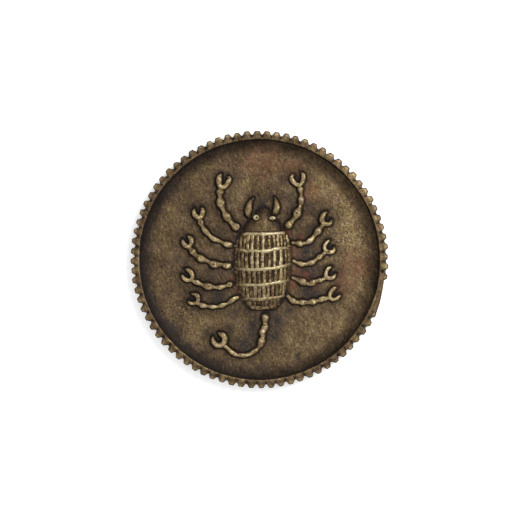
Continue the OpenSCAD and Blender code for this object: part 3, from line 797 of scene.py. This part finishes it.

# %% [markdown]
# Each row of ribs fans with the barrel between two bands. The places across the middle of a row are
# given one by one, because the real ribs are uneven: some broad, some thin, the outermost darker.

# %% Rib rows
# Where the ribs of each row stand across the body, tail end first: x
RIB_ROWS = [
    [-1.25, -0.93, -0.5, -0.06, 0.4, 0.85, 1.3, 1.74, 2.1],
    [-1.95, -1.62, -1.22, -0.82, -0.4, 0.02, 0.52, 0.97, 1.43, 1.93, 2.36, 2.72],
    [-2.4, -2.02, -1.6, -1.05, -0.48, 0.04, 0.55, 1.15, 1.78, 2.36, 2.82, 3.2],
    [-2.5, -2.14, -1.76, -1.34, -0.74, -0.2, 0.4, 1.1, 1.67, 2.35, 2.92, 3.3],
    [-2.35, -1.98, -1.6, -1.2, -0.72, -0.14, 0.45, 1.13, 1.62, 2.05, 2.43, 2.8, 3.15],
]
RIB_W = 0.35
RIB_H = 0.15
RIB_GAP = 0.06
RIB_STEPS = 6
ROW_BRIGHT = [0.42, 0.54, 0.55, 0.62, 0.62]


def band_y(k, x):
    line = smooth_line(BANDS[k], 8)
    return float(np.interp(x, line[:, 0], line[:, 1]))


for k, places in enumerate(RIB_ROWS):
    node = f"rib_row_{k + 1}"
    bars = []
    for j, x in enumerate(places):
        low_y, high_y = band_y(k, x), band_y(k + 1, x)
        y = np.linspace(low_y + RIB_GAP, high_y - RIB_GAP, RIB_STEPS)
        lean = np.arcsin(np.clip((x - BODY_X) / barrel_radius((low_y + high_y) / 2), -1, 1))
        line = np.column_stack([BODY_X + barrel_radius(y) * np.sin(lean), y])
        line[:, 0] += 0.05 * lumps(np.column_stack([line, np.zeros(RIB_STEPS)]), 0.5, 90 + j)
        luck = 0.75 + 0.5 * (lattice_value(np.array([[j, k, 7]]), 5)[0] * 0.5 + 0.5)
        width = RIB_W * (0.85 + 0.2 * luck)
        bars.append(barrel_bar(line, width, RIB_H, 100 + 20 * k + j, ROW_BRIGHT[k] * luck, steps=5))
    points, faces, rub_and_shading = joined(bars)
    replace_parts(make_piece(f"{node}_cast", points, faces, rub_and_shading, RELIEF_BRASS), node)
print("ribs:", sum(map(len, RIB_ROWS)))

# %% [markdown]
# The head is a low worn dome. Its outline is a closed line round a middle point, and rings drawn in
# from it to that point rise as a dome does: steep at the edge and almost flat on top.

# %% Head
HEAD_LINE = [
    (-1.62, 3.0), (-1.5, 3.5), (-1.16, 3.96), (-0.62, 4.45), (-0.16, 5.02), (0.2, 5.42),
    (0.55, 5.54), (0.92, 5.36), (1.2, 4.92), (1.62, 4.38), (2.1, 3.92), (2.3, 3.45), (2.34, 3.0),
]
HEAD_MID = np.array([0.45, 3.0])
HEAD_H = float(box_mm("head")[1][2] - FIELD_Z)
HEAD_RINGS = 26
HEAD_STEP = 0.12  # share of the height that stands upright at the edge
NAPE_UNDER = 0.3  # how far the head runs in under the last band
crown = smooth_line(HEAD_LINE, 10)
nape = np.linspace(crown[-1], crown[0], 40)[1:-1]
nape[:, 1] -= NAPE_UNDER
outline = np.vstack([crown, nape])
shares = np.linspace(1, 0.03, HEAD_RINGS)
dome = np.empty((HEAD_RINGS + 1, len(outline), 3))
for k, s in enumerate(shares):
    dome[k + 1, :, :2] = HEAD_MID + (outline - HEAD_MID) * s
    dome[k + 1, :, 2] = FIELD_Z + HEAD_H * (HEAD_STEP + (1 - HEAD_STEP) * (1 - s**2))
dome[0] = dome[1]
dome[0, :, 2] = FIELD_Z - SUNK
dome = dome.reshape(-1, 3)
grain = 0.6 * lumps(dome, 0.5, 41) + 0.5 * lumps(dome, 0.2, 42)
dome[len(outline):, 2] += 0.05 * grain[len(outline):]
faces = tube_faces(HEAD_RINGS + 1, len(outline))
from_edge = 1 - np.repeat(np.concatenate([[1], shares]), len(outline))
rub_and_shading = 0.22 + 0.19 * ease(0, 0.5, from_edge) + 0.1 * grain
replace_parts(make_piece("head_cast", dome, faces, rub_and_shading, RECESS_BRASS), "head")
print("head", round(HEAD_H, 2), "mm high")

# %% [markdown]
# The eyes are pellets pressed on with a rod, which left a pit off the middle of one of them. A
# turned profile, squeezed a little and roughened, gives the pellet, and a soft hollow gives the pit.

# %% Eyes
PELLET_TURNS = 40
PELLET_PROFILE = [(1.0, 0.55), (0.95, 0.78), (0.8, 0.93), (0.55, 1.0), (0.3, 1.0), (0.06, 1.0)]


def pellet(node, stretch, pit, seed):
    """pit is the place of the hollow from the middle, its reach and its depth."""
    low, high = box_mm(node)
    middle = (low + high) / 2
    r = (high[0] - low[0]) / 2
    h = high[2] - low[2]
    profile = smooth_line([(1.0, -SUNK / h)] + PELLET_PROFILE, 5)
    a = np.linspace(0, 2 * math.pi, PELLET_TURNS, endpoint=False)
    points = np.empty((len(profile), PELLET_TURNS, 3))
    points[..., 0] = middle[0] + r * stretch[0] * profile[:, 0:1] * np.cos(a)
    points[..., 1] = middle[1] + r * stretch[1] * profile[:, 0:1] * np.sin(a)
    points[..., 2] = low[2] + h * profile[:, 1:2]
    flat = points.reshape(-1, 3)
    rough = lumps(flat, 0.18, seed)
    share_up = np.repeat(profile[:, 1], PELLET_TURNS)
    upper = ease(0.5, 0.9, share_up)
    x, y, reach, depth = pit
    hollow = depth * spot(flat, middle[0] + x, middle[1] + y, reach) * upper
    flat[:, 2] += 0.05 * rough * upper - hollow
    rub_and_shading = 0.3 + 0.6 * ease(0.3, 0.85, share_up) - 2.6 * hollow + 0.14 * rough
    faces = tube_faces(len(profile), PELLET_TURNS)
    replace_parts(make_piece(f"{node}_cast", flat, faces, rub_and_shading, RELIEF_BRASS), node)


pellet("eye_left", (1.18, 1.1), (0.1, -0.07, 0.12, 0.17), 31)
pellet("eye_right", (1.3, 0.8), (0.0, -0.1, 0.1, 0.03), 37)
print("eyes:", [name for name in MADE if "eye" in name])

# %% [markdown]
# No small casting comes out of its mould quite round, and this one is a tenth of a millimetre
# fuller towards the lower right. The field and the rim share that error, so they still meet.
#
# The field is one sheet of rings from the middle to the lip, fine enough that it can sink slightly
# where a bar stands on it. The colour follows how far a point is from the nearest piece of relief:
# nearly black in the corner beside it, brown a little further out, and rubbed in the open. That dark
# is patina and painted shade, deepest on the upper-left side of the relief as a painted shadow.

# %% Out of round, and distance from the relief
OUT_OF_ROUND = 0.1
FULLEST_AT = 300


def facing(bearing, degrees):
    """1 where a bearing points along the given degrees, -1 opposite."""
    return np.cos(bearing - math.radians(degrees))


def ring(r, bearings, z):
    """Points round the middle of the token; r and z may change on the way."""
    return np.column_stack([r * np.cos(bearings), r * np.sin(bearings), np.zeros_like(bearings) + z])


def distance_to_relief(points):
    nearest = np.full(len(points), 9.0)
    for x, y, width in np.vstack([path[::3] for path in LIMBS]):
        away = np.hypot(points[:, 0] - x, points[:, 1] - y) - width / 2
        nearest = np.minimum(nearest, away)
    for y in np.linspace(STATIONS_Y[0], STATIONS_Y[-1], 40):
        half = np.sqrt((barrel_radius(y) + RIB_H) ** 2 - SPINDLE_SINK**2)
        beyond_x = np.maximum(np.abs(points[:, 0] - BODY_X) - half, 0)
        nearest = np.minimum(nearest, np.hypot(beyond_x, points[:, 1] - y) - 0.08)
    for share in (0.25, 0.5, 0.75, 1.0):
        for x, y in HEAD_MID + (outline[::4] - HEAD_MID) * share:
            nearest = np.minimum(nearest, np.hypot(points[:, 0] - x, points[:, 1] - y) - 0.12)
    return np.maximum(nearest, 0)


probe = np.array([[0.0, 9.0, 0.0], [9.5, 2.0, 0.0]])
print("two places on the field lie", np.round(distance_to_relief(probe), 1), "mm from the relief")

# %% [markdown]
# Two lists of places finish the field: sheltered places between the limbs, where dirt stayed, and
# places that fingers wore bright. The dirt, or soot, is a second number beside the one for wear,
# because it lies on top of the brass and has a colour of its own; that number also carries painted
# shade near the relief and on the shaded side of the hollow curve. A painted texture could hold
# both, but numbers on the vertices move with the mesh if a size is changed.

# %% Field
# Dark smudges in sheltered places: x, y, reach, strength
SMUDGES = [
    (-4.3, 3.0, 0.9, 0.5), (-4.4, 0.6, 0.9, 0.45), (-5.0, -1.8, 1.2, 0.6), (-4.6, -4.1, 1.1, 0.75),
    (-2.9, 6.2, 0.9, 0.4), (-2.8, 8.6, 0.6, 0.5), (5.2, 0.7, 1.4, 1.0), (5.4, -1.5, 1.4, 1.0),
    (5.6, -3.6, 1.4, 1.0), (5.6, 3.1, 0.9, 0.6), (3.2, 6.8, 0.9, 0.7), (5.6, 5.8, 0.9, 0.7),
    (3.6, 5.6, 0.8, 0.5), (0.35, 5.95, 0.55, 1.0), (-1.5, -9.4, 1.2, 1.0), (-0.7, -8.4, 0.8, 0.9),
    (-0.6, -7.4, 0.9, 1.0), (1.4, -8.3, 1.1, 1.0), (1.9, -6.7, 1.1, 1.0), (-0.6, -6.3, 0.8, 0.7),
    (3.2, -5.8, 0.9, 0.7), (-2.6, -5.9, 1.0, 0.6), (-5.6, -8.1, 0.7, 0.7), (-3.1, -7.5, 0.7, 0.6),
    (0.4, 6.2, 0.8, 0.6), (0.4, -11.9, 1.0, 0.5), (7.9, 2.9, 0.8, 0.4), (8.8, -0.9, 0.7, 0.4),
    (-8.9, -0.2, 0.7, 0.4), (2.6, 8.6, 0.8, 0.6), (-9.3, 8.0, 1.2, 0.6), (-9.6, -7.6, 1.3, 0.6),
]
# Places worn brighter, and one duller at the top: x, y, reach, change of rub
WORN = [
    (9.6, 2.4, 2.4, 0.08), (10.0, -2.5, 1.8, 0.04), (-6.8, -7.6, 2.6, 0.06),
    (-9.4, 0.4, 1.6, 0.03), (0.2, 9.2, 2.6, -0.05),
]
PLATE_TURNS = 720
PLATE_RINGS = 190
FLAT_R = 11.4  # the hollow curve starts here
RIDGE_R = 12.84
SWELLS = [(0.022, 2.4, 11), (0.012, 0.8, 12), (0.006, 0.3, 13)]  # height, size and seed of lumps
GROOVE = (0.06, 0.12)  # depth and reach of the groove round the relief
LIT_FROM = 15  # bearing of the side painted lighter, as if lit from there
LEAN = np.array([-0.8, 0.6, 0])  # to the upper left, the side of the relief painted in shadow
LEAN_STEP = 0.1

# The sheet: rings with their heights, then the shape of a used casting
radii = np.linspace(0.02, INNER_R, PLATE_RINGS)
turns = np.linspace(0, 2 * math.pi, PLATE_TURNS, endpoint=False)
plate_error = OUT_OF_ROUND * facing(turns, FULLEST_AT)
cove_rise = COVE_Z - FIELD_Z
cove_w = INNER_R - FLAT_R
cove_arc = (cove_w**2 + cove_rise**2) / (2 * cove_rise)
past_flat = np.clip(radii - FLAT_R, 0, None)
heights = FIELD_Z + cove_arc - np.sqrt(cove_arc**2 - past_flat**2)
errors = ease(10.0, INNER_R, radii)
sheet = np.vstack([ring(r + plate_error * e, turns, z) for r, e, z in zip(radii, errors, heights)])
radius = np.repeat(radii, PLATE_TURNS)
bearing = np.arctan2(sheet[:, 1], sheet[:, 0])
apart = distance_to_relief(sheet)
open_field = ease(0.0, 0.5, apart) * ease(INNER_R, INNER_R - 0.4, radius)
sheet[:, 2] += open_field * sum(high * lumps(sheet, size, seed) for high, size, seed in SWELLS)
sheet[:, 2] -= GROOVE[0] * hump(apart, 0, GROOVE[1]) * ease(13.0, 12.6, radius)
ridge = hump(radius, RIDGE_R, 0.05) * ease(0.8, 0.98, 0.5 + 0.5 * facing(bearing, 52))
sheet[:, 2] += 0.03 * ridge

# Wear and painted shading: dark beside the relief, patina and painted shade with a painted shadow
# on its upper-left side, and in the hollow curve, patina and painted shade that is lighter on the
# right and darkest at the foot of the lip; bright where fingers went
upper_left = (distance_to_relief(sheet + LEAN_STEP * LEAN) - apart) / LEAN_STEP
corner = hump(apart, 0, 0.17)
near = np.exp(-((apart / 0.7) ** 1.3))
cove = ease(11.2, 12.8, radius)
sunny = 0.5 + 0.5 * facing(bearing, LIT_FROM)
rub_and_shading = 0.45 - (0.27 + 0.12 * upper_left) * corner - (0.1 + 0.05 * upper_left) * near
rub_and_shading -= (0.28 - 0.08 * sunny) * cove + 0.1 * ease(12.6, 12.9, radius)
rub_and_shading += 0.2 * ridge - 0.08 * ease(12.86, 12.95, radius)
for x, y, reach, more in WORN:
    rub_and_shading += more * spot(sheet, x, y, reach) * (1 - near)
rub_and_shading += 0.04 * lumps(sheet, 3.5, 14) + 0.04 * lumps(sheet, 1.1, 15)
# Painted light: the outer field is painted lighter towards that bearing
rub_and_shading += 0.09 * (sunny - 0.3) * ease(7.0, 10.0, radius)

# Soot and painted shade: dirt and painted shade near the relief, painted shade on the shaded side
# of the curve, darker inside the claws, and soot in the smudges
soot_and_shade = 0.35 * near + 0.5 * cove * (1 - sunny)
for line in CLAWS_LEFT + CLAWS_RIGHT + [TAIL_CLAW]:
    x, y = np.mean([point[:2] for point in line], axis=0)
    crook = np.exp(-((np.hypot(sheet[:, 0] - x, sheet[:, 1] - y) / 0.5) ** 4))
    soot_and_shade = np.maximum(soot_and_shade, 0.6 * crook)
    rub_and_shading -= 0.3 * crook
for x, y, reach, strength in SMUDGES:
    soot_and_shade = np.maximum(soot_and_shade, strength * spot(sheet, x, y, reach))

# The flat back: a small chamfer, then rings round one last face
BACK_RINGS = [(INNER_R, 0.05), (INNER_R - 0.1, 0.0), (9.0, 0.0), (5.0, 0.0), (1.0, 0.0)]
count = len(sheet)
points = np.vstack([sheet] + [ring(r + plate_error * (r > 10), turns, z) for r, z in BACK_RINGS])
plate_faces = tube_faces(PLATE_RINGS + len(BACK_RINGS), PLATE_TURNS)
rub_and_shading = np.concatenate([rub_and_shading, 0.4 + 0.1 * lumps(points[count:], 2.0, 16)])
plate = make_piece("field_plate_cast", points, plate_faces, rub_and_shading, FIELD_BRASS)
write_numbers(plate.data, "soot_and_shade", np.concatenate([soot_and_shade, np.zeros(len(points) - count)]))
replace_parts(plate, "field_plate")
print("field vertices", len(points))

# %% [markdown]
# The rim is a ring whose outline is cut into rounded teeth with V-shaped valleys. A tooth is broader
# at its foot than at its crest, so metal shows in each valley, dark with patina and painted shade.
# At one place the metal was poured in; that stub was filed smooth and has no teeth.

# %% Toothed rim
TOOTH_COUNT = 80
TOOTH_FIRST = 0.99
TOOTH_DEPTH = 0.42
GATE_ANGLE = 342.6
GATE_HALF = 7.6
PER_TOOTH = 16
ROOT_R = TIP_R - TOOTH_DEPTH
pitch = 360 / TOOTH_COUNT
rim_turns = np.arange(TOOTH_COUNT * PER_TOOTH) * pitch / PER_TOOTH
around = np.radians(rim_turns)


def turned_from(degrees):
    """How far each place round the rim is from a bearing, from -180 to 180 degrees."""
    return (rim_turns - degrees + 180) % 360 - 180


# phase is -0.5 to 0.5 across a tooth with 0 at its crest; luck makes the teeth differ
phase = (rim_turns - TOOTH_FIRST) / pitch
tooth = np.round(phase).astype(np.int64)
cells = np.column_stack([tooth % TOOTH_COUNT, np.zeros_like(tooth), np.zeros_like(tooth)])
shift_luck, crest_luck, depth_luck = [lattice_value(cells, seed) for seed in (71, 72, 73)]
phase = phase - tooth + 0.035 * shift_luck
gate_gap = turned_from(GATE_ANGLE)
in_gate = ease(GATE_HALF + 0.6, GATE_HALF - 0.4, np.abs(gate_gap))


def outer_radius(level):
    """Radius of the rim's outline; level is 0 at the table and 1 at the lip."""
    crest_half = 0.16 + 0.04 * crest_luck
    foot_half = 0.5 - 0.03 * level
    rise = ease(foot_half, crest_half, np.abs(phase))
    webbed = 0.12 + 0.22 * hump(turned_from(350), 0, 35)
    toothed = ROOT_R + TOOTH_DEPTH * (1 + 0.1 * depth_luck) * rise
    toothed += webbed * (1 - level) * (1 - rise)
    filed = TIP_R - 0.02 - 0.018 * (gate_gap + GATE_HALF)
    return toothed * (1 - in_gate) + filed * in_gate


# The section, from the table up the outside, across the lip and down the inside
SIDE_LEVELS = [0.0, 0.03, 0.2, 0.4, 0.6, 0.78, 0.88]
SHOULDER = [(0.0, 0.94), (0.03, 0.965), (0.08, 0.985), (0.16, 0.995)]  # step in, level
LIP_STEPS = 7
LIP_FROM = SHOULDER[-1][0]
INSIDE = [(0.03, RIM_Z - 0.02), (0.0, RIM_Z - 0.08), (0.0, COVE_Z - 0.1), (0.0, 0.0)]  # step out, z
# flank and crest steer painted shade on the tooth flanks and in the valleys, with patina, and a
# painted highlight on each crest, partly wear
flank = ease(0.3, 0.45, np.abs(phase)) * (1 - in_gate)
crest = (1 - ease(0.05, 0.3, np.abs(phase))) * (1 - in_gate)
lip_outline = outer_radius(1.0)
crest_drop = 0.1 * ease(ROOT_R - 0.1, TIP_R, lip_outline)
wander = 0.03 * lumps(ring(13, around, 0), 2.5, 76) + 0.05 * hump(gate_gap, 2, 4.0)
# Painted highlight along the inner edge of the lip on the lower left (lip_edge), and painted light
# on the lip's right-hand side (far_edge)
lip_edge = 0.12 * ease(-0.3, 0.9, facing(around, 215))
far_edge = 0.09 * ease(0.6, 1.0, facing(around, 18))
rim_rings, rim_rub_and_shading = [], []
for level in SIDE_LEVELS:
    r = outer_radius(level) - (0.06 if level == 0 else 0.0)
    rim_rings.append((r, RIM_Z * level))
    rim_rub_and_shading.append(0.2 - 0.15 * flank + 0.05 * level)
for step_in, level in SHOULDER:
    drop = crest_drop * ease(0.6, 1.0, 1 - step_in)
    rim_rings.append((lip_outline - step_in, RIM_Z * level - drop))
    rim_rub_and_shading.append(0.14 + 2.0 * step_in - 0.24 * flank + 1.6 * step_in * crest)
for s in np.arange(1, LIP_STEPS + 1) / LIP_STEPS:
    r = (lip_outline - LIP_FROM) * (1 - s) + (INNER_R + 0.07 + wander) * s
    rim_rings.append((r, RIM_Z - crest_drop * (1 - ease(0, 0.5, s))))
    edge = lip_edge * ease(0.7, 1.0, s) + far_edge
    dip = 0.1 * hump(s, 0.45, 0.2)
    rim_rub_and_shading.append(0.47 + (0.16 * crest - 0.3 * flank) * (1 - s) - dip + edge - 0.04 * s)
# The inside wall under the lip is painted nearly black: painted shade on a wall in shade, with
# patina
for step_out, z in INSIDE:
    rim_rings.append((INNER_R + step_out + wander * (z > COVE_Z), z))
    rim_rub_and_shading.append(np.full_like(around, 0.34 if z > RIM_Z - 0.05 else 0.06))
rim_error = OUT_OF_ROUND * facing(around, FULLEST_AT)
rim_points = np.vstack([ring(r + rim_error, around, z) for r, z in rim_rings])
rough = 0.6 * lumps(rim_points, 0.45, 77) + 0.4 * lumps(rim_points, 0.2, 78)
on_top = rim_points[:, 2] > RIM_Z * 0.9
rim_points[:, 2] += np.where(on_top, 0.022 * rough - 0.022, 0)
rim_points[:, 0] += 0.012 * lumps(rim_points, 0.5, 79)
rim_points[:, 1] += 0.012 * lumps(rim_points, 0.5, 80)
rim_faces = grid_faces(len(rim_rings), len(around), closed_rows=True, closed_columns=True)
rim_rub_and_shading = np.concatenate(rim_rub_and_shading) + 0.14 * rough
rim = make_piece("toothed_rim_cast", rim_points, rim_faces, rim_rub_and_shading, RIM_BRASS)
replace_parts(rim, "toothed_rim")
print("rim vertices", len(rim_points))
